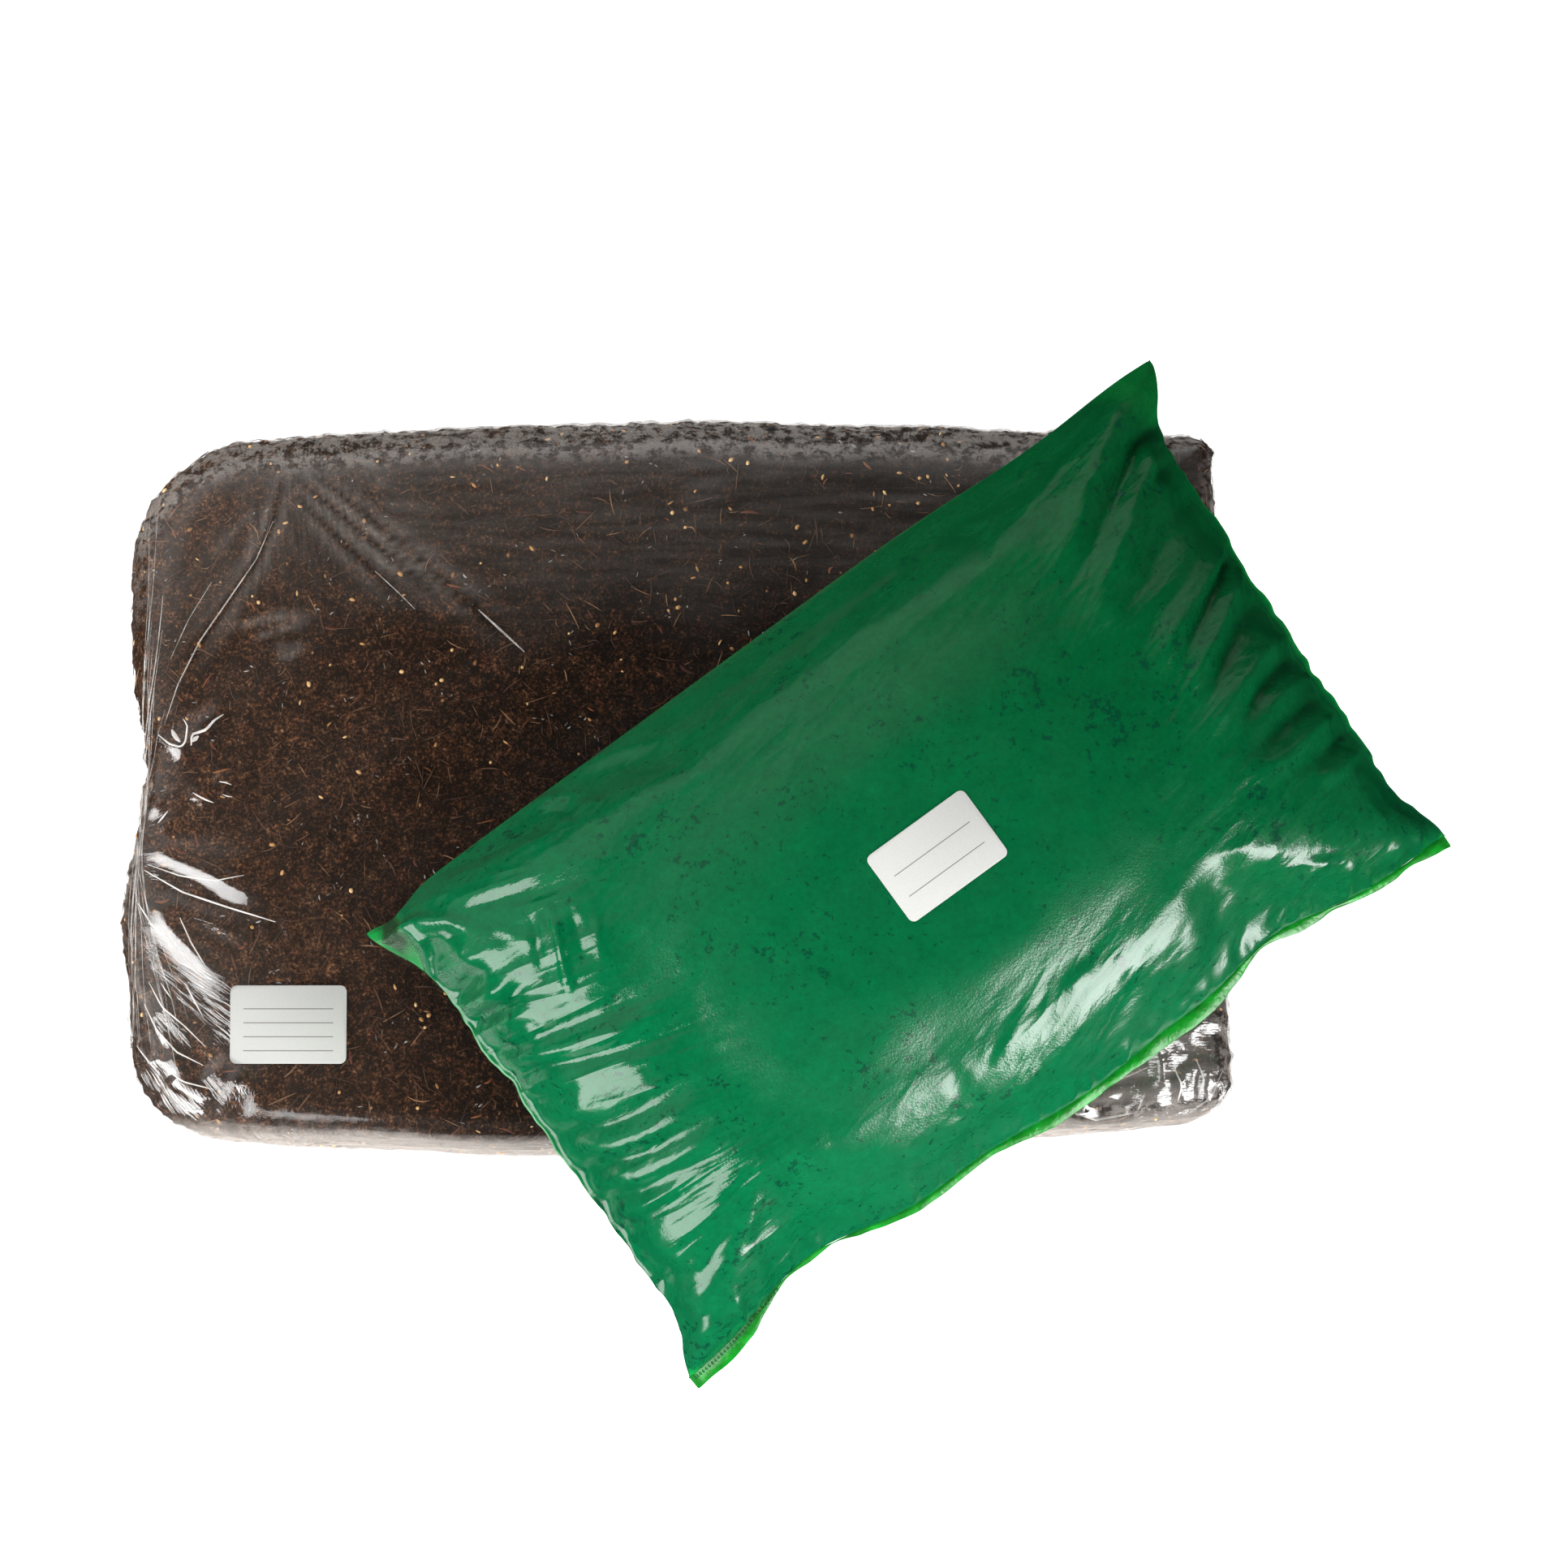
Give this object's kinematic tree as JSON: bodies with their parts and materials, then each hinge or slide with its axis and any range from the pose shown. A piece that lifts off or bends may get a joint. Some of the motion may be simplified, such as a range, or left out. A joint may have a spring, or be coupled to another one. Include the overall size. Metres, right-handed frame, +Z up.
{
  "type": "mushroom growing block with casing peat",
  "caption": "Compressed mushroom compost block wrapped in clear film, with a filled pillow-shaped green film bag of casing peat lying askew on top, both with blank paper labels.",
  "frame": {"origin": "middle of the block's flat underside, on the surface that it lies on", "axes": "+X along the block's long side, away from its gathered film end; +Y across the block, away from the viewer in the picture; +Z up"},
  "size_m": [0.7248, 0.556, 0.2907],
  "materials": {
    "compost": "rough, fibrous compost with straw and grain",
    "clear_film": "clear polyethylene film",
    "label_paper": "matt white sticker paper",
    "peat": "moist crumbly peat",
    "green_film": "glossy green polyethylene film",
    "bag_label_paper": "matt white sticker paper"
  },
  "bodies": {
    "root": {"substrate_block": "compost", "block_film": "clear_film", "block_label": "label_paper", "casing_peat": "peat", "casing_bag": "green_film", "bag_label": "bag_label_paper"}
  },
  "joints": []
}
